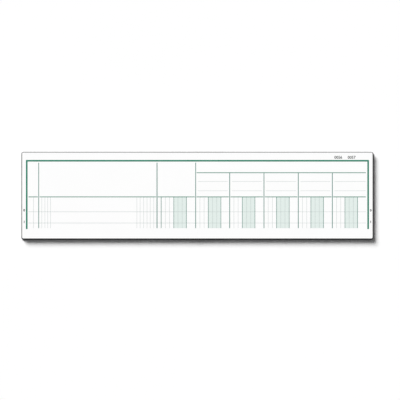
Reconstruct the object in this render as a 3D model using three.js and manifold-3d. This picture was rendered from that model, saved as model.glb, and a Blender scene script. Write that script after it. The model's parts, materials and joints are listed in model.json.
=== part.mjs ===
// A sewn accounting ledger lying open and flat at the middle of its middle section.
// Millimetres, +Z up. X runs from the left fore-edge to the right one, Y from the tail to the head.
// The origin is on the table, under the fold, at half the height of the cover.
// The left half is the front of the book and the right half is the back.
import * as THREE from "three";
import { mergeVertices } from "three/addons/utils/BufferGeometryUtils.js";
import Module from "manifold-3d";

const wasm = await Module();
wasm.setup();

// Overall size of the open book
const openWidth = 250;
const coverHeight = 62.4;

// Cover
const foreSquare = 0.6; // how far the cover stands out past the pages at each fore-edge
const headSquare = 0.45; // the same at the head
const tailSquare = 0.95; // and at the tail
const boardThickness = 0.9;
const coveringThickness = 0.25; // cover paper and spine cloth alike
const turnInWidth = 12;
const spineFlapWidth = 16; // spine cloth on the outside of each board
const pastedownThickness = 0.15;
const pastedownMargin = 1.0; // cover that shows round the pastedown

// Title label, pressed flush into the front cover
const labelWidth = 60;
const labelHeight = 26;
const labelThickness = 0.12;
const labelCentreX = -68;
const labelGap = 0.05; // all round the label, in its panel

// Pages
const leafThickness = 0.1;
const openLeafCount = 4; // leaves of the open section on each side of the fold
const sectionLeafCount = 8; // leaves of a closed section
const sectionCount = 3; // closed sections on each side of the open one
const flyleafThickness = 0.12;
const leafAir = 0.02; // between two loose leaves
const sectionAir = 0.03; // between two sections

// Back of the book, which rounds outwards when the book is closed
const backRound = 2.4; // height of the round
const backAir = 0.15; // from the fold line to each half of the back
const backReach = 0.1; // from the top of the back to the open section above it
const liningThickness = 0.15;
const glueLine = 0.02; // between the layers of the back
const tapeWidth = 8;
const tapeThickness = 0.2;
const tapeInset = 19.2; // from the head or tail of the cover to the middle of a tape
const tapeReach = 17; // how far a tape runs onto its board
const tapeSlotAir = 0.3; // between a tape and the infill beside it

// Sewing
const threadDiameter = 0.26;
const foldSlot = 0.4; // between the left and right leaves, round the thread
const threadSink = 0.02; // from the top of the pages down to the thread in the open fold
const foldAir = 0.02; // from the top of the pages up to the line that they turn on
const threadEndMargin = 5; // from the head and tail of the pages to the last stitch
const stitchDip = 0.31; // how far the thread drops behind the fold, over a tape
const stitchSlope = 1.6; // length of thread between its two levels
const threadHoleAir = 0.04; // round the thread in the fold of a closed section

// Fineness of the curves
const backSteps = 10; // flats in each arc of the back
const foldSteps = 8; // flats round the folded back of a section
const threadSides = 8;
const holeSides = 16;
const threadSteps = 60; // along the thread in the open fold

// Colours
const charcoal = 0x2b2c2e;
const blackCloth = 0x1d1e20;
const greyboard = 0x8d8578;
const cardGrey = 0xb8b2a4;
const pageWhite = 0xf6f6f3;
const endpaperWhite = 0xe9e6db;
const labelCream = 0xe8e2cf;
const kraft = 0xa58a63;
const tapeCotton = 0xd9d2bd;
const threadWhite = 0xf0efe9;

// Levels, from the table up
const table = 0;
const boardBottom = table + coveringThickness;
const boardTop = boardBottom + boardThickness;
const turnInTop = boardTop + coveringThickness;
const coverTop = turnInTop + pastedownThickness;
const flyleafBottom = coverTop + sectionAir;
const sectionThickness = sectionLeafCount * leafThickness;
const sectionsBottom = flyleafBottom + flyleafThickness;
const sectionPitch = sectionThickness + sectionAir;
const leavesBottom = sectionsBottom + sectionCount * sectionPitch;
const leafPitch = leafThickness + leafAir;
const pagesTop = leavesBottom + openLeafCount * leafPitch - leafAir;
// Every half, section and leaf turns on one line, at this level in the fold
const foldLevel = pagesTop + foldAir;
const threadLevel = pagesTop - threadSink - threadDiameter / 2;

// Widths and heights
const coverHalfWidth = openWidth / 2;
const coverHalfHeight = coverHeight / 2;
const boardReach = coverHalfWidth - coveringThickness;
const boardHalfHeight = coverHalfHeight - coveringThickness;
const pageReach = coverHalfWidth - foreSquare;
const pageTail = tailSquare - coverHalfHeight;
const pageHead = coverHalfHeight - headSquare;
const pageHeight = pageHead - pageTail;
const pageMiddle = (pageHead + pageTail) / 2;
const flapEnd = backRound + backAir + spineFlapWidth;
const tapeCentre = coverHalfHeight - tapeInset;

// The back follows a circle whose centre lies at the height of the fold line, inside the half
const backTop = leavesBottom - backReach;
const backRadius = (foldLevel ** 2 + backRound ** 2) / (2 * backRound);
const backCentre = backRadius + backAir;
const clothInside = backRadius - coveringThickness;
const liningOutside = clothInside - glueLine;
const liningInside = liningOutside - liningThickness;
const tapeOutside = liningInside - glueLine;
const tapeInside = tapeOutside - tapeThickness;
const sectionBacks = tapeInside - glueLine;

// Distance from the fold plane to a circle of the back at a level
const backAt = (radius, level) => backCentre - Math.sqrt(radius ** 2 - (foldLevel - level) ** 2);

// Points along a circle of the back from one level to another, as [distance from the fold plane, level]
function backArc(radius, from, to) {
  const angleAt = (level) => Math.asin((foldLevel - level) / radius);
  const points = [];
  for (let i = 0; i <= backSteps; i++) {
    const angle = angleAt(from) + ((angleAt(to) - angleAt(from)) * i) / backSteps;
    points.push([backCentre - radius * Math.cos(angle), foldLevel - radius * Math.sin(angle)]);
  }
  return points;
}

// A finish in one colour
const finish = (color, roughness = 0.9) => new THREE.MeshStandardMaterial({ color, roughness, metalness: 0 });

// Every coordinate goes to a whole thousandth of a millimetre, so that faces that meet share one plane
const MICRONS = 1000;
function rounded(geometry) {
  const position = geometry.getAttribute("position");
  position.array.forEach((value, i) => (position.array[i] = Math.round(value * MICRONS) / MICRONS));
  return geometry;
}

// A named mesh
function piece(name, geometry, material) {
  const mesh = new THREE.Mesh(rounded(geometry), material);
  mesh.name = name;
  return mesh;
}

// A box between two distances from the fold plane, two places in Y and two levels. side is -1 or 1
function slab(side, near, far, low, high, bottom, top) {
  const box = new THREE.BoxGeometry(far - near, high - low, top - bottom);
  return box.translate((side * (near + far)) / 2, (low + high) / 2, (bottom + top) / 2);
}

// A profile of [distance from the fold plane, level] points drawn out along Y, centred on a place in Y
function drawnOut(side, points, length, centre = 0, hole = null) {
  const shape = new THREE.Shape(points.map(([out, level]) => new THREE.Vector2(side * out, level)));
  if (hole) shape.holes.push(hole);
  const curveSegments = holeSides / 2;
  const body = new THREE.ExtrudeGeometry(shape, { depth: length, bevelEnabled: false, curveSegments });
  return body.rotateX(Math.PI / 2).translate(0, centre + length / 2, 0);
}

// Closed geometry to a solid, and back
function solid(geometry) {
  const bare = geometry.clone().deleteAttribute("normal").deleteAttribute("uv");
  const merged = mergeVertices(rounded(bare), 1e-4);
  return new wasm.Manifold(
    new wasm.Mesh({
      numProp: 3,
      vertProperties: new Float32Array(merged.attributes.position.array),
      triVerts: new Uint32Array(merged.index.array),
    }),
  );
}
function geometryOf(body) {
  const mesh = body.getMesh();
  const geometry = new THREE.BufferGeometry();
  geometry.setAttribute("position", new THREE.BufferAttribute(mesh.vertProperties, 3));
  geometry.setIndex(new THREE.BufferAttribute(mesh.triVerts, 1));
  geometry.computeVertexNormals();
  return geometry;
}
const joined = (...shapes) => shapes.map(solid).reduce((whole, next) => whole.add(next));

// The greyboard of one half, whose inner edge follows the back
function board(side) {
  const inner = backArc(clothInside - glueLine, boardBottom, boardTop);
  const outline = [[boardReach, boardBottom], ...inner, [boardReach, boardTop]];
  return drawnOut(side, outline, 2 * boardHalfHeight);
}

// Cover paper: the outside, three wrapped edges and three turn-ins, so a block without the board's room
// and without the window between the turn-ins
function coverPaper(side) {
  const headTurnIn = coverHalfHeight - coveringThickness - turnInWidth;
  const foreTurnIn = coverHalfWidth - coveringThickness - turnInWidth;
  const block = slab(side, flapEnd, coverHalfWidth, -coverHalfHeight, coverHalfHeight, table, turnInTop);
  const boardRoom = slab(side, 0, boardReach, -boardHalfHeight, boardHalfHeight, boardBottom, boardTop);
  const window = slab(side, 0, foreTurnIn, -headTurnIn, headTurnIn, boardBottom, foldLevel);
  return solid(block).subtract(solid(boardRoom)).subtract(solid(window));
}

// The panel that the label sits in
function labelPanel() {
  const halfWidth = labelWidth / 2 + labelGap;
  const halfHeight = labelHeight / 2 + labelGap;
  const below = table - coveringThickness;
  const top = table + labelThickness;
  return slab(1, labelCentreX - halfWidth, labelCentreX + halfWidth, -halfHeight, halfHeight, below, top);
}

// Spine cloth of one half: the flap on the board, its turn-ins at head and tail, and the back itself
function spineCloth(side) {
  const outside = backArc(backRadius, table, backTop);
  const inside = backArc(clothInside, backTop, boardBottom);
  const outline = [[flapEnd, table], ...outside, ...inside, [flapEnd, boardBottom]];
  const shapes = [drawnOut(side, outline, coverHeight)];
  const turnInStart = backAt(clothInside, boardBottom);
  const headTurnIn = coverHalfHeight - coveringThickness - turnInWidth;
  for (const end of [-1, 1]) {
    const edge = [end * boardHalfHeight, end * coverHalfHeight].sort((a, b) => a - b);
    const turned = [end * headTurnIn, end * coverHalfHeight].sort((a, b) => a - b);
    shapes.push(slab(side, turnInStart, flapEnd, ...edge, table, turnInTop));
    shapes.push(slab(side, turnInStart, flapEnd, ...turned, boardTop, turnInTop));
  }
  return joined(...shapes);
}

// Card between the turn-ins, with a slot for the end of each tape
function infill(side) {
  const near = backAt(clothInside, boardBottom);
  const far = coverHalfWidth - coveringThickness - turnInWidth;
  const halfHeight = coverHalfHeight - coveringThickness - turnInWidth;
  let card = solid(slab(side, near, far, -halfHeight, halfHeight, boardTop, turnInTop));
  for (const end of [-1, 1]) {
    const halfSlot = tapeWidth / 2 + tapeSlotAir;
    const centre = end * tapeCentre;
    const slotEnd = tapeReach + tapeSlotAir;
    const slot = slab(side, 0, slotEnd, centre - halfSlot, centre + halfSlot, table, foldLevel);
    card = card.subtract(solid(slot));
  }
  return geometryOf(card);
}

// Half of a sewing tape: up the back, and flat on the inside of the board
function tape(side, centre) {
  const flatTop = boardTop + tapeThickness;
  const outline = [[tapeReach, boardTop], ...backArc(tapeOutside, boardTop, backTop)];
  outline.push(...backArc(tapeInside, backTop, flatTop), [tapeReach, flatTop]);
  return drawnOut(side, outline, tapeWidth, centre);
}

// Half of the back lining, between the tapes and the spine cloth
function backLining(side) {
  const outline = [...backArc(liningOutside, boardTop, backTop), ...backArc(liningInside, backTop, boardTop)];
  return drawnOut(side, outline, pageHeight, pageMiddle);
}

// A closed section: its leaves lie together, and its folded back is round, with a hole for the thread
function section(side, bottom) {
  const radius = sectionThickness / 2;
  const middle = bottom + radius;
  const centre = backAt(sectionBacks - radius, middle);
  const outline = [[pageReach, bottom]];
  for (let i = 0; i <= foldSteps; i++) {
    const angle = (Math.PI * i) / foldSteps;
    outline.push([centre - radius * Math.sin(angle), middle - radius * Math.cos(angle)]);
  }
  outline.push([pageReach, bottom + sectionThickness]);
  const hole = new THREE.Path();
  hole.absarc(side * centre, middle, threadDiameter / 2 + threadHoleAir, 0, 2 * Math.PI);
  return drawnOut(side, outline, pageHeight, pageMiddle, hole);
}

// The thread in the fold of a closed section
function sectionThread(side, bottom) {
  const middle = bottom + sectionThickness / 2;
  const centre = backAt(sectionBacks - sectionThickness / 2, middle);
  const length = pageHeight - 2 * threadEndMargin;
  const thread = new THREE.CylinderGeometry(threadDiameter / 2, threadDiameter / 2, length, threadSides);
  return thread.translate(side * centre, pageMiddle, middle);
}

// The thread in the open fold: between the leaves, and down behind them over each tape
function centreThread() {
  const low = threadLevel - stitchDip;
  const points = [new THREE.Vector3(0, pageTail + threadEndMargin, threadLevel)];
  for (const side of [-1, 1]) {
    const near = side * tapeCentre - tapeWidth / 2;
    const far = side * tapeCentre + tapeWidth / 2;
    points.push(new THREE.Vector3(0, near - stitchSlope, threadLevel), new THREE.Vector3(0, near, low));
    points.push(new THREE.Vector3(0, far, low), new THREE.Vector3(0, far + stitchSlope, threadLevel));
  }
  points.push(new THREE.Vector3(0, pageHead - threadEndMargin, threadLevel));
  const path = new THREE.CurvePath();
  points.slice(1).forEach((point, i) => path.add(new THREE.LineCurve3(points[i], point)));
  const circle = new THREE.Shape().absarc(0, 0, threadDiameter / 2, 0, 2 * Math.PI);
  const fineness = { steps: threadSteps, curveSegments: threadSides / 2 };
  return new THREE.ExtrudeGeometry(circle, { ...fineness, extrudePath: path });
}

// One half of the book. Everything in it is named after the side it lies on, or after its cover
function half(side) {
  const cover = side < 0 ? "front" : "back";
  const hand = side < 0 ? "left" : "right";
  const group = new THREE.Group();

  let paper = coverPaper(side);
  if (side < 0) paper = paper.subtract(solid(labelPanel()));
  group.add(piece(`${cover}_cover_paper`, geometryOf(paper), finish(charcoal, 0.7)));
  group.add(piece(`${cover}_board`, board(side), finish(greyboard)));
  group.add(piece(`${cover}_spine_cloth`, geometryOf(spineCloth(side)), finish(blackCloth)));
  group.add(piece(`${cover}_infill`, infill(side), finish(cardGrey)));
  const pastedownNear = backAt(sectionBacks, turnInTop);
  const pastedownFar = coverHalfWidth - pastedownMargin;
  const pastedownHalf = coverHalfHeight - pastedownMargin;
  const pastedownSpan = [pastedownNear, pastedownFar, -pastedownHalf, pastedownHalf];
  const pastedown = slab(side, ...pastedownSpan, turnInTop, coverTop);
  group.add(piece(`${cover}_pastedown`, pastedown, finish(endpaperWhite)));
  group.add(piece(`${hand}_back_lining`, backLining(side), finish(kraft)));
  group.add(piece(`${hand}_head_tape`, tape(side, tapeCentre), finish(tapeCotton)));
  group.add(piece(`${hand}_tail_tape`, tape(side, -tapeCentre), finish(tapeCotton)));

  const flyleafNear = backAt(sectionBacks, flyleafBottom);
  const flyleaf = slab(side, flyleafNear, pageReach, pageTail, pageHead, flyleafBottom, sectionsBottom);
  group.add(piece(`${cover}_flyleaf`, flyleaf, finish(endpaperWhite)));
  for (let i = 0; i < sectionCount; i++) {
    const number = sectionCount - i;
    const bottom = sectionsBottom + i * sectionPitch;
    group.add(piece(`${hand}_section_${number}`, section(side, bottom), finish(pageWhite)));
    group.add(piece(`${hand}_section_${number}_thread`, sectionThread(side, bottom), finish(threadWhite)));
  }
  for (let i = 0; i < openLeafCount; i++) {
    const number = openLeafCount - i;
    const bottom = leavesBottom + i * leafPitch;
    const leaf = slab(side, foldSlot / 2, pageReach, pageTail, pageHead, bottom, bottom + leafThickness);
    group.add(piece(`${hand}_leaf_${number}`, leaf, finish(pageWhite)));
  }
  return group;
}

const ledger = new THREE.Group();
ledger.add(half(-1), half(1));

const label = new THREE.BoxGeometry(labelWidth, labelHeight, labelThickness);
const labelMesh = piece("title_label", label, finish(labelCream));
labelMesh.position.set(labelCentreX, 0, table + labelThickness / 2);
ledger.add(labelMesh, piece("centre_thread", centreThread(), finish(threadWhite)));

export default ledger;
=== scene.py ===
import json
import math
import random

import bmesh
import bpy
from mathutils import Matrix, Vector


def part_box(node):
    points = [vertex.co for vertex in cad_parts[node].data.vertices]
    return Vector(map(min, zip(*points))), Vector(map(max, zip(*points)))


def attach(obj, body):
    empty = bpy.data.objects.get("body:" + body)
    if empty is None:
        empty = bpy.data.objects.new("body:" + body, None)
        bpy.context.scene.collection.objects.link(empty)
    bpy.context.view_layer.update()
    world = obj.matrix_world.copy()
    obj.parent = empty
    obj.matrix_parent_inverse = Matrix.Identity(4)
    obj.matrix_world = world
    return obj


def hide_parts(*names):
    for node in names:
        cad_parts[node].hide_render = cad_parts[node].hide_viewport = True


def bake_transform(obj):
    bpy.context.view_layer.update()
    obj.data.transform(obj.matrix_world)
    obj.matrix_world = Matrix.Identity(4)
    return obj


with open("model.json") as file:
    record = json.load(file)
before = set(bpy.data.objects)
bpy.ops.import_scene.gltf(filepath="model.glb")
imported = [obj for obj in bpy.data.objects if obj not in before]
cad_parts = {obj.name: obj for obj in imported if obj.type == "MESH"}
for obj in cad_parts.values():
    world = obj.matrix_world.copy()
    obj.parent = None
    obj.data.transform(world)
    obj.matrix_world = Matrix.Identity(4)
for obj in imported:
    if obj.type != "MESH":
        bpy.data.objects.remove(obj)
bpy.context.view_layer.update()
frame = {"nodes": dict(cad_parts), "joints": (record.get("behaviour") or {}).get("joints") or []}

# The looks of the open ledger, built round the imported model. Shapes are written in millimetres:
# X runs from the left page to the right one, Y from the tail to the head, and Z up from the table.
MM = 0.001
random.seed(7)


def box_mm(node):
    """Lowest and highest corner of a CAD node, in millimetres."""
    low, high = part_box(node)
    return low / MM, high / MM


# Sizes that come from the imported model
leaf_low, leaf_high = box_mm("right_leaf_1")
PAGE_REACH = leaf_high.x  # from the fold to the fore-edge
PAGE_TAIL, PAGE_HEAD = leaf_low.y, leaf_high.y
PAGE_MIDDLE = (PAGE_TAIL + PAGE_HEAD) / 2
cover_low, cover_high = box_mm("back_cover_paper")
COVER_REACH = cover_high.x
COVER_HALF = cover_high.y
TURN_IN_TOP = cover_high.z
FLAP_END = cover_low.x  # where the cover paper meets the spine cloth
board_low, board_high = box_mm("back_board")
BOARD_BOTTOM, BOARD_TOP = board_low.z, board_high.z
BOARD_REACH, BOARD_HALF = board_high.x, board_high.y
FOLD_LEVEL = frame["joints"][0]["pos_m"][2] / MM  # the line that all the leaves turn on
LEAVES = 4
SECTIONS = 3

# The round of the back, as in the CAD model
BACK_ROUND = 2.4
BACK_AIR = 0.15
BACK_RADIUS = (FOLD_LEVEL**2 + BACK_ROUND**2) / (2 * BACK_ROUND)
BACK_CENTRE = BACK_RADIUS + BACK_AIR
CLOTH = 0.25  # thickness of the spine cloth
TURN_IN = 12  # how far the cloth is turned in over the boards

# Paper and thread
SHEET_GAP = 0.012  # air between two sheets that lie together
LEAF_PITCH = 0.1  # of the sheets in a closed section
THREAD_RADIUS = 0.13
THREAD_LEVEL = 4.41  # of the middle of the thread in the open fold
STITCH_DIP = 0.22  # how much lower it runs behind the leaves, over a tape
STITCH_SLOPE = 1.6  # length over which it goes down or comes up
THREAD_MARGIN = 5  # from the head and tail of the pages to the last stitch
tape_low, tape_high = box_mm("right_head_tape")
TAPE_CENTRE = (tape_low.y + tape_high.y) / 2
TAPE_HALF = (tape_high.y - tape_low.y) / 2


class Build:
    """Vertices and faces of one piece, in millimetres, and the mesh that they make."""

    def __init__(self):
        self.verts = []
        self.faces = []

    def add(self, verts, faces):
        start = len(self.verts)
        self.verts += verts
        self.faces += [[start + i for i in face] for face in faces]

    def prism(self, outline, bottom, top):
        """A closed outline of [x, y] points, drawn up from one level to another."""
        n = len(outline)
        verts = [(x, y, bottom) for x, y in outline] + [(x, y, top) for x, y in outline]
        faces = [list(range(n))[::-1], list(range(n, 2 * n))]
        faces += [[i, (i + 1) % n, n + (i + 1) % n, n + i] for i in range(n)]
        self.add(verts, faces)

    def box(self, x0, x1, y0, y1, z0, z1):
        self.prism([(x0, y0), (x1, y0), (x1, y1), (x0, y1)], z0, z1)

    def loft(self, rings):
        """A closed body through rings of as many [x, y, z] points each."""
        n = len(rings[0])
        faces = [list(range(n))[::-1], list(range(n * (len(rings) - 1), n * len(rings)))]
        for k in range(len(rings) - 1):
            near, far = k * n, (k + 1) * n
            faces += [[near + i, near + (i + 1) % n, far + (i + 1) % n, far + i] for i in range(n)]
        self.add([point for ring in rings for point in ring], faces)

    def ribbon(self, outer, inner, start, end, trims=None):
        """A strip between two lines of [x, z] points with as many points each, drawn out along Y.

        trims says how much shorter the strip is at each end, point by point.
        """
        n = len(outer)
        trims = trims or [0] * n
        verts = []
        for y, way in ((start, 1), (end, -1)):
            for line in (outer, inner):
                verts += [(x, y + way * trim, z) for (x, z), trim in zip(line, trims)]
        faces = []
        for i in range(n - 1):
            faces.append([i, i + 1, 2 * n + i + 1, 2 * n + i])
            faces.append([n + i, 3 * n + i, 3 * n + i + 1, n + i + 1])
            faces.append([i, n + i, n + i + 1, i + 1])
            faces.append([2 * n + i, 2 * n + i + 1, 3 * n + i + 1, 3 * n + i])
        faces.append([0, 2 * n, 3 * n, n])
        faces.append([n - 1, 2 * n - 1, 4 * n - 1, 3 * n - 1])
        self.add(verts, faces)

    def tube(self, path, radius, sides):
        """A closed round tube along [x, y, z] points that runs mainly along Y."""
        verts = []
        for x, y, z in path:
            for k in range(sides):
                angle = 2 * math.pi * k / sides
                verts.append((x + radius * math.cos(angle), y, z + radius * math.sin(angle)))
        faces = [list(range(sides)), list(range(len(verts) - sides, len(verts)))]
        for i in range(len(path) - 1):
            for k in range(sides):
                a, b = i * sides + k, i * sides + (k + 1) % sides
                faces.append([a, b, b + sides, a + sides])
        self.add(verts, faces)

    def piece(self, name, material):
        mesh = bpy.data.meshes.new(name)
        mesh.from_pydata([Vector(v) * MM for v in self.verts], [], self.faces)
        bm = bmesh.new()
        bm.from_mesh(mesh)
        bmesh.ops.recalc_face_normals(bm, faces=bm.faces)
        bm.to_mesh(mesh)
        bm.free()
        mesh.materials.append(material)
        piece = bpy.data.objects.new(name, mesh)
        bpy.context.scene.collection.objects.link(piece)
        return piece


def smooth(piece, degrees=35):
    """Shades a piece smooth, apart from its sharp edges."""
    mesh = piece.data
    mesh.polygons.foreach_set("use_smooth", [True] * len(mesh.polygons))
    mesh.set_sharp_from_angle(angle=math.radians(degrees))


# Materials

WAVE_BANDS = 3.18  # to the metre, of a wave texture at scale 1
RUBBED_RIM = 0.9  # width of the rubbed rim of a cover
RUBBED_ACROSS = 0.1  # wear of the head and tail, as a share of that of the fore-edge


def linear(red, green, blue):
    """An sRGB colour of 0 to 255 as the shader's linear one."""

    def one(value):
        value /= 255
        return value / 12.92 if value <= 0.04045 else ((value + 0.055) / 1.055) ** 2.4

    return (one(red), one(green), one(blue), 1)


class Look:
    """A node material: a principled shader, fed by patterns that follow the piece."""

    def __init__(self, name, roughness, specular=0.3):
        self.material = bpy.data.materials.new(name)
        self.material.use_nodes = True
        self.nodes = self.material.node_tree.nodes
        self.links = self.material.node_tree.links
        self.shader = self.nodes["Principled BSDF"]
        self.shader.inputs["Roughness"].default_value = roughness
        self.shader.inputs["Specular IOR Level"].default_value = specular
        coordinates = self.nodes.new("ShaderNodeTexCoord")
        self.place = coordinates.outputs["Object"]

    def link(self, output, node, socket):
        self.links.new(output, node.inputs[socket])

    def stretched(self, x, y, z, place=None):
        """The piece's own coordinates, scaled."""
        mapping = self.nodes.new("ShaderNodeMapping")
        mapping.inputs["Scale"].default_value = (x, y, z)
        self.link(place or self.place, mapping, "Vector")
        return mapping.outputs["Vector"]

    def noise(self, scale, detail=3, place=None):
        """Clouds, with so many to the metre."""
        node = self.nodes.new("ShaderNodeTexNoise")
        node.inputs["Scale"].default_value = scale
        node.inputs["Detail"].default_value = detail
        self.link(place or self.place, node, "Vector")
        return node.outputs["Fac"]

    def cells(self, scale):
        """Distance from the middle of each cell of a grain."""
        node = self.nodes.new("ShaderNodeTexVoronoi")
        node.inputs["Scale"].default_value = scale
        self.link(self.place, node, "Vector")
        return node.outputs["Distance"]

    def bands(self, scale, direction, place):
        """Even waves across one direction, with so many to the metre."""
        node = self.nodes.new("ShaderNodeTexWave")
        node.wave_type = "BANDS"
        node.bands_direction = direction
        node.inputs["Scale"].default_value = scale / WAVE_BANDS
        node.inputs["Distortion"].default_value = 0.6
        node.inputs["Detail"].default_value = 1
        self.link(place, node, "Vector")
        return node.outputs["Fac"]

    def math(self, operation, first, second):
        node = self.nodes.new("ShaderNodeMath")
        node.operation = operation
        for socket, value in ((0, first), (1, second)):
            if isinstance(value, (int, float)):
                node.inputs[socket].default_value = value
            else:
                self.link(value, node, socket)
        return node.outputs["Value"]

    def ramp(self, factor, *stops):
        """Colours at places from 0 to 1 of a pattern."""
        node = self.nodes.new("ShaderNodeValToRGB")
        elements = node.color_ramp.elements
        while len(elements) < len(stops):
            elements.new(0.5)
        for element, (position, colour) in zip(elements, stops):
            element.position = position
            element.color = colour
        self.link(factor, node, "Fac")
        return node.outputs["Color"]

    def mix(self, factor, first, second):
        node = self.nodes.new("ShaderNodeMix")
        node.data_type = "RGBA"
        self.link(factor, node, "Factor")
        self.link(first, node, "A")
        self.link(second, node, "B")
        return node.outputs["Result"]

    def colour(self, output):
        self.link(output, self.shader, "Base Color")

    def rough(self, factor, low, high):
        node = self.nodes.new("ShaderNodeMapRange")
        node.inputs["To Min"].default_value = low
        node.inputs["To Max"].default_value = high
        self.link(factor, node, "Value")
        self.link(node.outputs["Result"], self.shader, "Roughness")

    def bump(self, height, depth_mm, strength=1.0):
        node = self.nodes.new("ShaderNodeBump")
        node.inputs["Strength"].default_value = strength
        node.inputs["Distance"].default_value = depth_mm * MM
        self.link(height, node, "Height")
        self.link(node.outputs["Normal"], self.shader, "Normal")


def paper_look(name, light, dark, roughness=0.9, fleck=2600):
    """Smooth paper: a faint cloudiness, a little tooth and fine fibres."""
    look = Look(name, roughness, specular=0.2)
    fibres = look.noise(fleck, 4, look.stretched(1, 0.35, 1))
    clouds = look.noise(45, 2)
    pattern = look.math("MULTIPLY", look.math("ADD", fibres, clouds), 0.5)
    look.colour(look.ramp(pattern, (0.3, dark), (0.7, light)))
    look.bump(fibres, 0.006, 0.25)
    return look.material


def ink_look(name, colour, worn):
    """Printing ink, a shade uneven where it has sunk into the paper."""
    look = Look(name, 0.85, specular=0.15)
    look.colour(look.ramp(look.noise(900, 3), (0.35, worn), (0.65, colour)))
    return look.material


def card_look(name, light, dark):
    """Raw pulp board with flecks and a soft, open surface."""
    look = Look(name, 0.95, specular=0.15)
    flecks = look.noise(1400, 5)
    clouds = look.noise(160, 3)
    pattern = look.math("MULTIPLY", look.math("ADD", flecks, clouds), 0.5)
    look.colour(look.ramp(pattern, (0.35, dark), (0.62, light)))
    look.bump(flecks, 0.03, 0.5)
    return look.material


def cover_look():
    """Charcoal paper with an embossed grain, rubbed a little along its edges."""
    look = Look("cover_paper", 0.7, specular=0.25)
    grain = look.math("ADD", look.cells(1500), look.math("MULTIPLY", look.noise(700, 4), 0.7))
    body = look.ramp(grain, (0.25, linear(38, 39, 42)), (0.95, linear(60, 61, 64)))
    split = look.nodes.new("ShaderNodeSeparateXYZ")
    look.link(look.place, split, "Vector")
    along = look.math("ABSOLUTE", split.outputs["X"], 0)
    along = look.math("SUBTRACT", along, (COVER_REACH - RUBBED_RIM) * MM)
    across = look.math("ABSOLUTE", split.outputs["Y"], 0)
    across = look.math("SUBTRACT", across, (COVER_HALF - RUBBED_RIM) * MM)
    edge = look.math("MAXIMUM", along, look.math("MULTIPLY", across, RUBBED_ACROSS))
    edge = look.math("MULTIPLY", look.math("MAXIMUM", edge, 0), 1 / (RUBBED_RIM * MM))
    rubbed = look.math("MULTIPLY", edge, look.noise(260, 4))
    worn = look.ramp(grain, (0.25, linear(104, 104, 105)), (0.95, linear(146, 145, 144)))
    look.colour(look.mix(rubbed, body, worn))
    look.rough(grain, 0.62, 0.82)
    look.bump(grain, 0.05, 0.6)
    return look.material


def cloth_look():
    """Black book cloth: a plain weave that follows the back round, with a trace of sheen."""
    look = Look("spine_cloth", 0.85, specular=0.25)
    look.shader.inputs["Sheen Weight"].default_value = 0.12
    look.shader.inputs["Sheen Roughness"].default_value = 0.5
    attribute = look.nodes.new("ShaderNodeAttribute")
    attribute.attribute_name = "weave"
    place = attribute.outputs["Vector"]
    warp = look.bands(2400, "X", place)
    weft = look.bands(2100, "Y", place)
    weave = look.math("MULTIPLY", look.math("ADD", warp, weft), 0.5)
    slub = look.noise(500, 3, look.stretched(1, 0.12, 1, place))
    weave_share = look.math("MULTIPLY", weave, 0.75)
    slub_share = look.math("MULTIPLY", slub, 0.3)
    pattern = look.math("ADD", weave_share, slub_share)
    look.colour(look.ramp(pattern, (0.2, linear(17, 17, 19)), (0.85, linear(44, 45, 48))))
    look.bump(weave, 0.06, 0.7)
    return look.material


def woven_look(name, light, dark, warp_count, weft_count, depth_mm):
    """Cotton tape: threads that cross, a little uneven."""
    look = Look(name, 0.92, specular=0.15)
    warp = look.bands(warp_count, "X", look.place)
    weft = look.bands(weft_count, "Y", look.place)
    weave = look.math("ADD", warp, weft)
    weave_share = look.math("MULTIPLY", weave, 0.4)
    clouds_share = look.math("MULTIPLY", look.noise(700, 3), 0.25)
    pattern = look.math("ADD", weave_share, clouds_share)
    look.colour(look.ramp(pattern, (0.15, dark), (0.8, light)))
    look.bump(weave, depth_mm, 0.6)
    return look.material


def thread_look():
    """Waxed linen: strands that wind round the thread."""
    look = Look("sewing_thread", 0.6, specular=0.35)
    strands = look.nodes.new("ShaderNodeTexWave")
    strands.wave_type = "BANDS"
    strands.bands_direction = "DIAGONAL"
    strands.inputs["Scale"].default_value = 700
    strands.inputs["Distortion"].default_value = 0.5
    look.link(look.place, strands, "Vector")
    pattern = strands.outputs["Fac"]
    look.colour(look.ramp(pattern, (0.0, linear(226, 224, 216)), (0.6, linear(246, 245, 240))))
    look.bump(pattern, 0.02, 0.5)
    return look.material


PAGE = paper_look("page_paper", linear(250, 250, 250), linear(248, 248, 248))
ENDPAPER = paper_look("endpaper", linear(240, 237, 226), linear(233, 229, 216), fleck=1500)
LABEL = paper_look("label_paper", linear(236, 229, 207), linear(226, 217, 192), fleck=1300)
KRAFT = paper_look("back_lining", linear(172, 144, 104), linear(146, 119, 82), 0.95, 900)
INK = ink_look("ruling_ink", linear(2, 116, 90), linear(10, 126, 100))
LINE_INK = ink_look("line_ink", linear(68, 124, 112), linear(80, 134, 122))
FEINT_INK = ink_look("feint_ink", linear(176, 188, 185), linear(184, 195, 192))
TINT_INK = ink_look("tint_ink", linear(221, 232, 228), linear(225, 235, 231))
NUMBER_INK = ink_look("number_ink", linear(46, 52, 50), linear(64, 70, 68))
LABEL_INK = ink_look("label_ink", linear(70, 66, 60), linear(88, 83, 75))
BOARD = card_look("board", linear(164, 156, 142), linear(128, 120, 106))
CARD = card_look("infill_card", linear(198, 193, 181), linear(168, 162, 148))
COVER = cover_look()
CLOTH_LOOK = cloth_look()
TAPE = woven_look("sewing_tape", linear(226, 219, 199), linear(190, 181, 156), 1700, 1500, 0.05)
THREAD = thread_look()


# Ruling. Places on a page are millimetres from the fold and from half height, as
# [x0, x1, y0, y1, share of the ink's thickness]

DIGIT = 2.986  # width of one digit's space in a cash column

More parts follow.
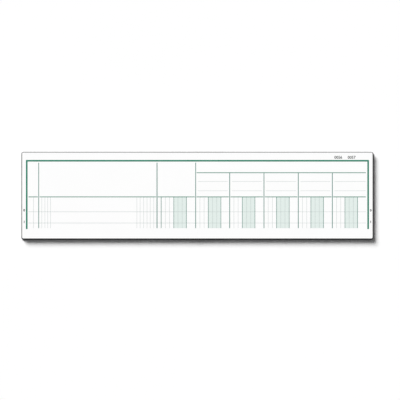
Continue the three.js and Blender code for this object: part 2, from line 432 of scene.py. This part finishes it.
# Widths of the lines
FRAME_LINE = 1.13
LINE = 0.5
LEFT_LINES = (LINE, 1.24 * LINE, 1.03 * LINE)  # of LEFT_COLUMNS and FOLD_COLUMN
RIGHT_LINE = 1.06 * LINE  # of RIGHT_COLUMNS
THIN_LINE = 0.37
TOTAL_LINE = 1.2 * THIN_LINE
HEADER_LINE = 0.54
SUB_HEADER_LINE = 0.5
FEINT = 0.2
LEFT_ROW_FEINT = 0.25  # the rows are a little darker on the left page

# Places of the lines
RULES_TOP = 23.32
RULES_BOTTOM = -23.22
FRAME_TOP = 24.64
FRAME_END = -23.87
HEADER = -1.01
SUB_HEADER = 16.14
HEADER_FEINTS = (9.91, 3.33)
HEADER_MARGIN = 1.5  # of these feint lines, from the uprights beside them
ROWS = (-11.6, -19.56)
ROW_NUMBERS = (-10.6, -18.85)
RIGHT_FRAME = 121.28
LEFT_FRAME = -121.15
RIGHT_COLUMNS = (22.97, 47.31, 71.67, 95.85)
FOLD_COLUMN = -1.19
LEFT_COLUMNS = (-112.64, -28.64)
TOTAL_COLUMN = -25.7
DATE_FEINTS = (-116.35, -110.46, -108.26, -106.26, -104.27)
PARTICULARS_FEINTS = (-42.95, -40.65, -38.15, -35.75, -33.46, -30.96)
LEFT_FEINTS = (*DATE_FEINTS, *PARTICULARS_FEINTS)
RULES_LEFT = -119.95
RULES_RIGHT = 119.65
LAST_COLUMN_END = RULES_RIGHT + 1.4
BREAK = 0.6  # gap in a line on each side of one that crosses it

# How high each printing stands over the paper. What is printed later lies on top
TINT_HEIGHT = 0.004
FEINT_HEIGHT = 0.008
INK_HEIGHT = 0.012
LEVEL_SHARE = 0.8  # of that in a level line, so that uprights cover it where they meet

# Numbers
ROW_DIGITS = ("0", "1")
ROW_DIGIT_SIZE = 2.3
LEFT_DIGITS, LEFT_DIGIT_WEIGHT = -122.97, 0.1
RIGHT_DIGITS, RIGHT_DIGIT_WEIGHT = 123.1, 0.09
FOLIO_SIZE = 2.8
FOLIO_PLACE = (104.8, 26.95)
FOLIO_WEIGHT = 0.06


def upright(x, low, high, width):
    return [x - width / 2, x + width / 2, low, high, 1]


def level(y, left, right, width):
    return [left, right, y - width / 2, y + width / 2, LEVEL_SHARE]


def broken(y, left, right, width, uprights):
    """A level line that stops short of each upright that it meets."""
    places = [x for x in uprights if left < x < right]
    starts = [left] + [x + BREAK for x in places]
    ends = [x - BREAK for x in places] + [right]
    return [level(y, start, end, width) for start, end in zip(starts, ends) if end > start]


def cash_column(left, page):
    """The digit lines of one cash column, with its tinted band."""
    top = HEADER - HEADER_LINE / 2
    for k in (1, 2, 4, 5):
        page["feint"].append(upright(left + k * DIGIT, RULES_BOTTOM, top, FEINT))
    for k in (3, 6):
        page["line"].append(upright(left + k * DIGIT, RULES_BOTTOM, top, THIN_LINE))
    page["tint"].append([left + 3 * DIGIT, left + 6 * DIGIT, RULES_BOTTOM, top, 1])


def left_page():
    """Date, particulars and total: the page on the left of the fold."""
    page = {"ink": [], "line": [], "feint": [], "tint": []}
    page["ink"].append(upright(LEFT_FRAME, FRAME_END, FRAME_TOP + FRAME_LINE / 2, FRAME_LINE))
    page["ink"].append(level(FRAME_TOP, LEFT_FRAME + FRAME_LINE / 2, 0, FRAME_LINE))
    uprights = [*LEFT_COLUMNS, FOLD_COLUMN]
    for x, width in zip(uprights, LEFT_LINES):
        page["line"].append(upright(x, RULES_BOTTOM, RULES_TOP, width))
    page["ink"] += broken(HEADER, RULES_LEFT, 0, HEADER_LINE, uprights)
    page["ink"].append(level(SUB_HEADER, FOLD_COLUMN + BREAK, 0, SUB_HEADER_LINE))
    top = HEADER - HEADER_LINE / 2
    for x in LEFT_FEINTS:
        page["feint"].append(upright(x, RULES_BOTTOM, top, FEINT))
    for y in ROWS:
        page["feint"].append(level(y, RULES_LEFT, 0, LEFT_ROW_FEINT))
    page["line"].append(upright(TOTAL_COLUMN, RULES_BOTTOM, top, TOTAL_LINE))
    cash_column(TOTAL_COLUMN, page)
    return page


def right_page():
    """Five analysis columns: the page on the right of the fold."""
    page = {"ink": [], "line": [], "feint": [], "tint": []}
    page["ink"].append(upright(RIGHT_FRAME, FRAME_END, FRAME_TOP + FRAME_LINE / 2, FRAME_LINE))
    page["ink"].append(level(FRAME_TOP, 0, RIGHT_FRAME - FRAME_LINE / 2, FRAME_LINE))
    for x in RIGHT_COLUMNS:
        page["line"].append(upright(x, RULES_BOTTOM, SUB_HEADER - SUB_HEADER_LINE / 2, RIGHT_LINE))
    page["ink"].append(level(SUB_HEADER, 0, RULES_RIGHT, SUB_HEADER_LINE))
    page["ink"] += broken(HEADER, 0, RULES_RIGHT, HEADER_LINE, RIGHT_COLUMNS)
    for left in (FOLD_COLUMN, *RIGHT_COLUMNS):
        cash_column(left, page)
    edges = [FOLD_COLUMN, *RIGHT_COLUMNS, LAST_COLUMN_END]
    for y in HEADER_FEINTS:
        for start, end in zip(edges, edges[1:]):
            page["feint"].append(level(y, start + HEADER_MARGIN, end - HEADER_MARGIN, FEINT))
    for y in ROWS:
        page["feint"].append(level(y, 0, RULES_RIGHT, FEINT))
    return page


def digits(text, size, x, y, weight=0.0):
    """A short number as vertices and faces, in millimetres, from height 0 to 1."""
    curve = bpy.data.curves.new("digits", "FONT")
    curve.body = text
    curve.size = size
    curve.align_x = "CENTER"
    curve.align_y = "CENTER"
    curve.resolution_u = 3
    curve.extrude = 0.5
    curve.offset = weight
    holder = bpy.data.objects.new("digits", curve)
    mesh = bpy.data.meshes.new_from_object(holder)
    verts = [(x + v.co.x, y + v.co.y, v.co.z + 0.5) for v in mesh.vertices]
    faces = [list(face.vertices) for face in mesh.polygons]
    bpy.data.objects.remove(holder)
    bpy.data.curves.remove(curve)
    bpy.data.meshes.remove(mesh)
    return verts, faces


def row_numbers(x, weight):
    return [digits(text, ROW_DIGIT_SIZE, x, y, weight) for text, y in zip(ROW_DIGITS, ROW_NUMBERS)]


NUMBERS = {
    "left": row_numbers(LEFT_DIGITS, LEFT_DIGIT_WEIGHT),
    "right": row_numbers(RIGHT_DIGITS, RIGHT_DIGIT_WEIGHT),
}
PAGES = {"left": left_page(), "right": right_page()}
INKS = {
    "ink": (INK, INK_HEIGHT),
    "line": (LINE_INK, INK_HEIGHT),
    "feint": (FEINT_INK, FEINT_HEIGHT),
    "tint": (TINT_INK, TINT_HEIGHT),
    "numbers": (NUMBER_INK, INK_HEIGHT),
}


def print_page(builds, page, surface, up, near, folio=None):
    """Adds one page's ruling to the builds, on a surface that faces up or, turned over, down.

    near is where the flat of the surface starts, from the fold.
    """
    way = 1 if up else -1
    side = way * (-1 if page == "left" else 1)
    for kind, build in builds.items():
        for x0, x1, y0, y1, share in PAGES[page].get(kind, ()):
            start, end = sorted((abs(x0), abs(x1)))
            if end <= near:
                continue
            across = sorted((side * max(start, near), side * end))
            levels = sorted((surface, surface + way * share * INKS[kind][1]))
            build.box(*across, PAGE_MIDDLE + y0, PAGE_MIDDLE + y1, *levels)
    words = list(NUMBERS[page])
    if folio:
        words.append(folio)
    for verts, faces in words:
        placed = [(way * x, PAGE_MIDDLE + y, surface + way * z * INK_HEIGHT) for x, y, z in verts]
        builds["numbers"].add(placed, faces)


def print_both(node, body, bottom, top, near, folio):
    """Rules both outer pages of a leaf or closed section and rides the printing on its body."""
    side = node.split("_")[0]
    other = "right" if side == "left" else "left"
    builds = {kind: Build() for kind in INKS}
    print_page(builds, side, top, True, near, folio if side == "right" else None)
    print_page(builds, other, bottom, False, near, folio if side == "left" else None)
    for kind, build in builds.items():
        printed = build.piece(f"{node}_{kind}", INKS[kind][0])
        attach(printed, body)


# Leaves of the open section


def thread_path():
    """Places along the thread of the open fold, as [y, level]. It runs lower over each tape."""
    low = THREAD_LEVEL - STITCH_DIP
    points = [(PAGE_TAIL + THREAD_MARGIN, THREAD_LEVEL)]
    for side in (-1, 1):
        near = side * TAPE_CENTRE - TAPE_HALF
        far = side * TAPE_CENTRE + TAPE_HALF
        points += [(near - STITCH_SLOPE, THREAD_LEVEL), (near, low)]
        points += [(far, low), (far + STITCH_SLOPE, THREAD_LEVEL)]
    return points + [(PAGE_HEAD - THREAD_MARGIN, THREAD_LEVEL)]


def thread_level(y):
    """Level of the thread's middle at a place along the fold, or None past its ends."""
    path = thread_path()
    for (y0, z0), (y1, z1) in zip(path, path[1:]):
        if y0 <= y <= y1:
            return z0 + (z1 - z0) * (y - y0) / (y1 - y0)
    return None


FOLD_EDGE = 0.002  # of a leaf, from the fold
NOTCH = 0.145  # of a leaf beside the thread
NOTCH_STEP = 0.1
NOTCH_ROOM = 0.14  # level difference from the thread's middle at which a leaf still makes room
CORNER = 0.9  # radius of a leaf's outer corners
CORNER_STEPS = 5


def fold_edge(bottom, top):
    """The leaf's edge in the fold, as [x, y] from tail to head, with room for the thread."""
    steps = int(round((PAGE_HEAD - PAGE_TAIL) / NOTCH_STEP))
    line = [(FOLD_EDGE, PAGE_TAIL)]
    for i in range(1, steps):
        y = PAGE_TAIL + (PAGE_HEAD - PAGE_TAIL) * i / steps
        middle = thread_level(y)
        meets = middle is not None and bottom - NOTCH_ROOM < middle < top + NOTCH_ROOM
        x = NOTCH if meets else FOLD_EDGE
        if x != line[-1][0]:
            line += [(line[-1][0], y), (x, y)]
    return line + [(FOLD_EDGE, PAGE_HEAD)]


def fore_corners(reach, tail, head, radius):
    """Round corners at a fore-edge, as [x, y] from the tail to the head."""
    turns = [math.pi / 2 * k / CORNER_STEPS for k in range(CORNER_STEPS + 1)]
    low = [(reach - radius * (1 - math.sin(t)), tail + radius * (1 - math.cos(t))) for t in turns]
    high = [(reach - radius * (1 - math.cos(t)), head - radius * (1 - math.sin(t))) for t in turns]
    return low + high


def leaf_outline(bottom, top):
    return fold_edge(bottom, top)[::-1] + fore_corners(PAGE_REACH, PAGE_TAIL, PAGE_HEAD, CORNER)


def open_leaf(side, number):
    hand = "left" if side < 0 else "right"
    node = f"{hand}_leaf_{number}"
    low, high = box_mm(node)
    bottom, top = low.z + SHEET_GAP / 2, high.z - SHEET_GAP / 2
    build = Build()
    build.prism([(side * x, y) for x, y in leaf_outline(bottom, top)], bottom, top)
    leaf = build.piece(f"{node}_paper", PAGE)
    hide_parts(node)
    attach(leaf, node)
    opening = MIDDLE + number - 1 if side > 0 else MIDDLE - number
    near = FOLD_EDGE if number == 1 else NOTCH
    print_both(node, node, bottom, top, near, folio_of(opening))


def folio_of(opening):
    """Page numbers of one opening, for the top right corner."""
    text = f"{2 * opening:04d}     {2 * opening + 1:04d}"
    return digits(text, FOLIO_SIZE, *FOLIO_PLACE, FOLIO_WEIGHT)


# Closed sections

SECTION_LEAVES = 8
FOLD_STEPS = 10
FLAT_START = 2  # of a folded sheet, from the middle of its fold's round
UNEVEN_FORE = 0.09  # by which a leaf may fall short at the fore-edge
UNEVEN_END = 0.07  # by which a sheet may fall short at the head and tail
PRINT_START = 0.1  # of the ruling on a section, from the middle of its fold's round
MIDDLE = LEAVES + SECTIONS * SECTION_LEAVES  # openings before the one in the middle


def back_at(radius, height):
    """How far from the fold a round of the back lies at a height."""
    return BACK_CENTRE - math.sqrt(radius**2 - (FOLD_LEVEL - height) ** 2)


def sheet_corner():
    """The rounded end of one leaf of a sheet, as [x, y] from its tail, with an uneven fore-edge."""
    reach = PAGE_REACH - random.uniform(0, UNEVEN_FORE)
    return fore_corners(reach, 0, 2 * CORNER, CORNER)[: CORNER_STEPS + 1]


def section_sheets(build, side, bottom, thickness, centre):
    """Folded sheets, one inside another, a little uneven, whose folds close round the thread."""
    middle = bottom + thickness / 2
    sheets = int(round(thickness / 2 / LEAF_PITCH))
    eye = THREAD_RADIUS + SHEET_GAP
    step = (thickness / 2 - eye) / sheets
    bends = [math.pi * i / FOLD_STEPS for i in range(FOLD_STEPS + 1)]
    for k in range(sheets):
        outer = (thickness / 2 - k * LEAF_PITCH, thickness / 2 - k * step)
        inner = (outer[0] - LEAF_PITCH + SHEET_GAP, outer[1] - step + SHEET_GAP / 2)
        lower, upper = sheet_corner()[::-1], sheet_corner()
        trims = [y for x, y in lower] + [0] * (FOLD_STEPS + 3) + [y for x, y in upper]
        lines = []
        for flat, fold in (outer, inner):
            line = [(x, middle - flat) for x, y in lower]
            line.append((centre + FLAT_START, middle - flat))
            line += [(centre - fold * math.sin(a), middle - fold * math.cos(a)) for a in bends]
            line.append((centre + FLAT_START, middle + flat))
            line += [(x, middle + flat) for x, y in upper]
            lines.append([(side * x, z) for x, z in line])
        tail, head = (random.uniform(0, UNEVEN_END) for _ in range(2))
        build.ribbon(*lines, PAGE_TAIL + tail, PAGE_HEAD - head, trims)


def closed_section(side, number):
    hand = "left" if side < 0 else "right"
    node = f"{hand}_section_{number}"
    low, high = box_mm(node)
    thickness = high.z - low.z
    centre = low.x + thickness / 2 if side > 0 else -high.x + thickness / 2
    build = Build()
    section_sheets(build, side, low.z, thickness, centre)
    sheets = build.piece(f"{node}_sheets", PAGE)
    smooth(sheets)
    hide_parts(node)
    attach(sheets, node)
    leaves = SECTION_LEAVES * (number - 1 if side > 0 else number)
    opening = MIDDLE + LEAVES + leaves if side > 0 else MIDDLE - LEAVES - leaves
    print_both(node, node, low.z, high.z, centre + PRINT_START, folio_of(opening))


# Thread in the open fold

THREAD_STEP = 0.4
THREAD_SIDES = 12


def centre_thread():
    path = []
    points = thread_path()
    for (y0, z0), (y1, z1) in zip(points, points[1:]):
        steps = max(2, int((y1 - y0) / THREAD_STEP))
        for i in range(steps):
            part = i / steps
            ease = part * part * (3 - 2 * part)
            path.append((0, y0 + (y1 - y0) * part, z0 + (z1 - z0) * ease))
    path.append((0, *points[-1]))
    build = Build()
    build.tube(path, THREAD_RADIUS, THREAD_SIDES)
    thread = build.piece("centre_sewing_thread", THREAD)
    smooth(thread)
    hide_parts("centre_thread")
    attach(thread, "back_cover")


# Spine cloth

CLOTH_STEPS = 26
SHOULDER_STEPS = 7
LEVEL_STEPS = 6  # from the bottom to the top of a board or turn-in
CLOTH_SHOULDER = 3.8  # level where the cloth leaves the round to cross the fold
CLOTH_PEAK = 4.04  # level of its inner face at the fold
CLOTH_HOLLOW = 3.93  # level of its outer face at the fold
BEND_REACH = 0.7  # of the part that would bend, on each side of the fold; no bend is made
LAYERS = 1.2  # room beside the cloth for the lining and the sections on the flat of the board
CLOTH_GAP = 0.01  # beside the cloth, at the edges of the boards
BOARD_GAP = 0.02  # between a board and the cloth round the back


def cloth_side(radius, foot, peak):
    """From the end of the flap to the fold: [x, z] points of one face of the cloth."""
    line = [(FLAP_END, foot), (FLAP_END * 0.5, foot)]
    for i in range(CLOTH_STEPS + 1):
        height = foot + (CLOTH_SHOULDER - foot) * i / CLOTH_STEPS
        line.append((back_at(radius, height), height))
    shoulder = line[-1][0]
    for i in range(1, SHOULDER_STEPS + 1):
        turn = math.pi / 2 * i / SHOULDER_STEPS
        rise = (peak - CLOTH_SHOULDER) * math.sin(turn)
        line.append((shoulder * math.cos(turn), CLOTH_SHOULDER + rise))
    return line


def mirrored(line):
    return line + [(-x, z) for x, z in line[-2::-1]]


def turn_in(side, foot, gap):
    """Points [x, z] beside the back and at the flap's end, up to the top of the turn-ins."""
    levels = [foot + (TURN_IN_TOP - foot) * i / LEVEL_STEPS for i in range(LEVEL_STEPS + 1)]
    near = [(side * (back_at(BACK_RADIUS - CLOTH, z) + gap), z) for z in levels]
    return near, [(side * FLAP_END, z) for z in levels]


def spine_cloth():
    """One strip of cloth over both halves, wrapped over the boards at head and tail."""
    build = Build()
    outer = mirrored(cloth_side(BACK_RADIUS, 0, CLOTH_HOLLOW))
    inner = mirrored(cloth_side(BACK_RADIUS - CLOTH, BOARD_BOTTOM, CLOTH_PEAK))
    build.ribbon(outer, inner, -COVER_HALF, COVER_HALF)
    for side in (-1, 1):
        for end in (-1, 1):
            edge = sorted((end * BOARD_HALF, end * COVER_HALF))
            turned = sorted((end * (COVER_HALF - CLOTH - TURN_IN), end * BOARD_HALF))
            build.ribbon(*turn_in(side, BOARD_BOTTOM, CLOTH_GAP), *edge)
            build.ribbon(*turn_in(side, BOARD_TOP, LAYERS), *turned)
    cloth = build.piece("spine_cloth", CLOTH_LOOK)
    smooth(cloth)
    weave = cloth.data.attributes.new("weave", "FLOAT_VECTOR", "POINT")
    for i, vertex in enumerate(cloth.data.vertices):
        x, y, z = vertex.co
        if abs(x) < BACK_ROUND * MM:
            weave.data[i].vector = (x - math.copysign(z, x), y, 0)
        else:
            weave.data[i].vector = (x, y + math.copysign(z, y), 0)
    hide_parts("front_spine_cloth", "back_spine_cloth")
    end = (-BEND_REACH * MM, 0, FOLD_LEVEL * MM)
    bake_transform(cloth)


# Covers, boards, endpapers and label

COVER_CORNER = 1.6  # radius
COVER_CORNER_STEPS = 6
BOARD_CORNER = COVER_CORNER - (COVER_REACH - BOARD_REACH)
RIM_ROUND = 0.09
RIM_STEPS = 3
RIM_ANGLE = 50  # degrees, from which an outer edge of a cover is rounded
BEVEL_PROFILE = 0.5  # a quarter of a circle
MERGE_WITHIN = 1e-7  # metres, between corners that are one
FLAT_WITHIN = 1  # degrees, between faces that are one
UPRIGHT_LEAST = 0.5  # height of an edge that counts as upright
SAME_PLACE = 0.01  # by which the ends of such an edge may be off
LABEL_CORNER = 1.5  # radius
LABEL_CORNER_STEPS = 5
LABEL_FRAMES = ((2.4, 0.5), (3.4, 0.2))  # how far inside the label's edge, and the line's width
WRITING_LINES = (3.4, -3.4)  # from half height
WRITING_LINE_INSET = 9
WRITING_LINE = 0.24
TAPE_EDGE = 0.04
EDGE_STEPS = 2
EDGE_ANGLE = 40  # degrees, from which an edge of a tape is softened


def stands_at(edge, reach, half):
    """Whether an edge stands upright at these distances from the fold and from half height."""
    ends = [v.co / MM for v in edge.verts]
    if abs(ends[0].z - ends[1].z) < UPRIGHT_LEAST:
        return False
    misses = [max(abs(abs(p.x) - reach), abs(abs(p.y) - half)) for p in ends]
    return max(misses) < SAME_PLACE


def rounded_copy(node, name, material, body):
    """A copy of a CAD node with its outer corners and edges rounded."""
    mesh = frame["nodes"][node].data.copy()
    mesh.materials.clear()
    mesh.materials.append(material)
    bm = bmesh.new()
    bm.from_mesh(mesh)
    bmesh.ops.remove_doubles(bm, verts=bm.verts, dist=MERGE_WITHIN)
    bmesh.ops.dissolve_limit(
        bm, angle_limit=math.radians(FLAT_WITHIN), verts=bm.verts, edges=bm.edges
    )

    outside = (COVER_REACH, COVER_HALF, COVER_CORNER)
    inside = (BOARD_REACH, BOARD_HALF, BOARD_CORNER)
    for reach, half, radius in (outside, inside):
        corners = [e for e in bm.edges if stands_at(e, reach, half)]
        bmesh.ops.bevel(
            bm,
            geom=corners,
            offset=radius * MM,
            segments=COVER_CORNER_STEPS,
            profile=BEVEL_PROFILE,
            affect="EDGES",
        )

    def rim(edge):
        if len(edge.link_faces) != 2 or not edge.is_convex:
            return False
        return edge.calc_face_angle(0) > math.radians(RIM_ANGLE)

    rims = [e for e in bm.edges if rim(e)]
    bmesh.ops.bevel(
        bm,
        geom=rims,
        offset=RIM_ROUND * MM,
        segments=RIM_STEPS,
        profile=BEVEL_PROFILE,
        affect="EDGES",
        clamp_overlap=True,
    )
    bm.to_mesh(mesh)
    bm.free()
    piece = bpy.data.objects.new(name, mesh)
    bpy.context.scene.collection.objects.link(piece)
    smooth(piece, 30)
    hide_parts(node)
    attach(piece, body)


def board(side):
    """A board with round corners at its fore-edge, whose inner edge follows the back."""
    cover = "front" if side < 0 else "back"
    corners = fore_corners(BOARD_REACH, -BOARD_HALF, BOARD_HALF, BOARD_CORNER)
    rings = []
    for i in range(LEVEL_STEPS + 1):
        z = BOARD_BOTTOM + (BOARD_TOP - BOARD_BOTTOM) * i / LEVEL_STEPS
        near = back_at(BACK_RADIUS - CLOTH, z) + BOARD_GAP
        ring = [(near, -BOARD_HALF), *corners, (near, BOARD_HALF)]
        rings.append([(side * x, y, z) for x, y in ring])
    build = Build()
    build.loft(rings)
    piece = build.piece(f"{cover}_board_core", BOARD)
    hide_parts(f"{cover}_board")
    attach(piece, f"{cover}_cover")


def endpaper(side, leaf):
    """A pastedown or flyleaf, with round corners at its fore-edge."""
    cover = "front" if side < 0 else "back"
    low, high = box_mm(f"{cover}_{leaf}")
    near, reach = sorted((abs(low.x), abs(high.x)))
    outline = [(near, low.y), *fore_corners(reach, low.y, high.y, CORNER), (near, high.y)]
    build = Build()
    build.prism([(side * x, y) for x, y in outline], low.z, high.z)
    piece = build.piece(f"{cover}_{leaf}_paper", ENDPAPER)
    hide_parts(f"{cover}_{leaf}")
    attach(piece, f"{cover}_cover")


def rounded_box(low, high, radius):
    """An outline of [x, y] points with round corners."""
    corners = ((high.x, high.y), (low.x, high.y), (low.x, low.y), (high.x, low.y))
    outline = []
    for corner, (x, y) in enumerate(corners):
        middle_x = x - radius if x == high.x else x + radius
        middle_y = y - radius if y == high.y else y + radius
        for k in range(LABEL_CORNER_STEPS + 1):
            turn = math.pi / 2 * (corner + k / LABEL_CORNER_STEPS)
            outline.append((middle_x + radius * math.cos(turn), middle_y + radius * math.sin(turn)))
    return outline


def title_label():
    """A blank label with round corners, a plain double frame and two writing lines."""
    low, high = box_mm("title_label")
    paper = Build()
    paper.prism(rounded_box(low, high, LABEL_CORNER), low.z + INK_HEIGHT, high.z)
    label = paper.piece("title_label_paper", LABEL)
    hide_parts("title_label")
    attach(label, "front_cover")

    rules = Build()
    levels = (low.z, low.z + INK_HEIGHT)
    for inset, width in LABEL_FRAMES:
        x0, x1 = low.x + inset, high.x - inset
        y0, y1 = low.y + inset, high.y - inset
        for y in (y0, y1):
            rules.box(x0 - width / 2, x1 + width / 2, y - width / 2, y + width / 2, *levels)
        for x in (x0, x1):
            rules.box(x - width / 2, x + width / 2, y0 + width / 2, y1 - width / 2, *levels)
    x0, x1 = low.x + WRITING_LINE_INSET, high.x - WRITING_LINE_INSET
    for y in WRITING_LINES:
        rules.box(x0, x1, y - WRITING_LINE / 2, y + WRITING_LINE / 2, *levels)
    printed = rules.piece("title_label_rules", LABEL_INK)
    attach(printed, "front_cover")


def finish_node(node, material, bevel_mm=0):
    """Gives a carried-over CAD node its material and, where it shows, soft edges."""
    piece = frame["nodes"][node]
    piece.data.materials.clear()
    piece.data.materials.append(material)
    if bevel_mm:
        bevel = piece.modifiers.new("edges", "BEVEL")
        bevel.width = bevel_mm * MM
        bevel.segments = EDGE_STEPS
        bevel.limit_method = "ANGLE"
        bevel.angle_limit = math.radians(EDGE_ANGLE)


def build_book():
    for side in (-1, 1):
        board(side)
        endpaper(side, "pastedown")
        endpaper(side, "flyleaf")
        for number in range(1, LEAVES + 1):
            open_leaf(side, number)
        for number in range(1, SECTIONS + 1):
            closed_section(side, number)
    centre_thread()
    spine_cloth()
    for cover in ("front", "back"):
        body = f"{cover}_cover"
        rounded_copy(f"{cover}_cover_paper", f"{cover}_cover_covering", COVER, body)
        finish_node(f"{cover}_infill", CARD)
    for hand in ("left", "right"):
        finish_node(f"{hand}_back_lining", KRAFT)
        finish_node(f"{hand}_head_tape", TAPE, TAPE_EDGE)
        finish_node(f"{hand}_tail_tape", TAPE, TAPE_EDGE)
        for number in range(1, SECTIONS + 1):
            finish_node(f"{hand}_section_{number}_thread", THREAD)
    title_label()


build_book()


# Stage, light and camera

PIXEL = 0.7101  # millimetres of the page to one pixel of a 400-pixel picture
PICTURE = 400
CAMERA_PLACE = (1.88, -2.97, 600)
FLOOR_REACH = 6  # metres
FLOOR_DARK = (0.965, 0.965, 0.965, 1)
FLOOR_LIGHT = (0.97, 0.97, 0.97, 1)
LAMP_STRENGTH = 4.28
LAMP_ANGLE = 0.5  # how wide the lamp is, in radians: it softens the shadow
LAMP_DIRECTION = (-3.05, 4.37, 4.7)
SURROUND_STRENGTH = 0.135


def floor():
    mesh = bpy.data.meshes.new("floor")
    far = FLOOR_REACH
    corners = [(-far, -far, 0), (far, -far, 0), (far, far, 0), (-far, far, 0)]
    mesh.from_pydata(corners, [], [[0, 1, 2, 3]])
    look = Look("floor", 0.9, specular=0.0)
    look.colour(look.ramp(look.noise(4, 2), (0.3, FLOOR_DARK), (0.7, FLOOR_LIGHT)))
    mesh.materials.append(look.material)
    piece = bpy.data.objects.new("floor", mesh)
    bpy.context.scene.collection.objects.link(piece)


def studio():
    """A wide soft lamp from the upper left, and a pale surround."""
    lamp = bpy.data.lights.new("window", "SUN")
    lamp.energy = LAMP_STRENGTH
    lamp.angle = LAMP_ANGLE
    holder = bpy.data.objects.new("window", lamp)
    holder.rotation_euler = Vector(LAMP_DIRECTION).to_track_quat("Z", "Y").to_euler()
    bpy.context.scene.collection.objects.link(holder)

    world = bpy.data.worlds.new("surround")
    bpy.context.scene.world = world
    world.use_nodes = True
    nodes, links = world.node_tree.nodes, world.node_tree.links
    background = nodes["Background"]
    background.inputs["Color"].default_value = (1, 1, 1, 1)
    path = nodes.new("ShaderNodeLightPath")
    seen = nodes.new("ShaderNodeMath")
    seen.operation = "MAXIMUM"
    links.new(path.outputs["Is Camera Ray"], seen.inputs[0])
    links.new(path.outputs["Is Glossy Ray"], seen.inputs[1])
    either = nodes.new("ShaderNodeMath")
    either.operation = "MAXIMUM"
    links.new(seen.outputs["Value"], either.inputs[0])
    links.new(path.outputs["Is Transmission Ray"], either.inputs[1])
    strength = nodes.new("ShaderNodeMapRange")
    strength.inputs["To Min"].default_value = SURROUND_STRENGTH
    strength.inputs["To Max"].default_value = 1.0
    links.new(either.outputs["Value"], strength.inputs["Value"])
    links.new(strength.outputs["Result"], background.inputs["Strength"])


def camera():
    """Straight above the open pages, with no perspective."""
    data = bpy.data.cameras.new("camera")
    data.type = "ORTHO"
    data.ortho_scale = PIXEL * PICTURE * MM
    holder = bpy.data.objects.new("camera", data)
    holder.location = Vector(CAMERA_PLACE) * MM
    bpy.context.scene.collection.objects.link(holder)
    bpy.context.scene.camera = holder


floor()
studio()
camera()
bpy.context.scene.view_settings.view_transform = "Standard"
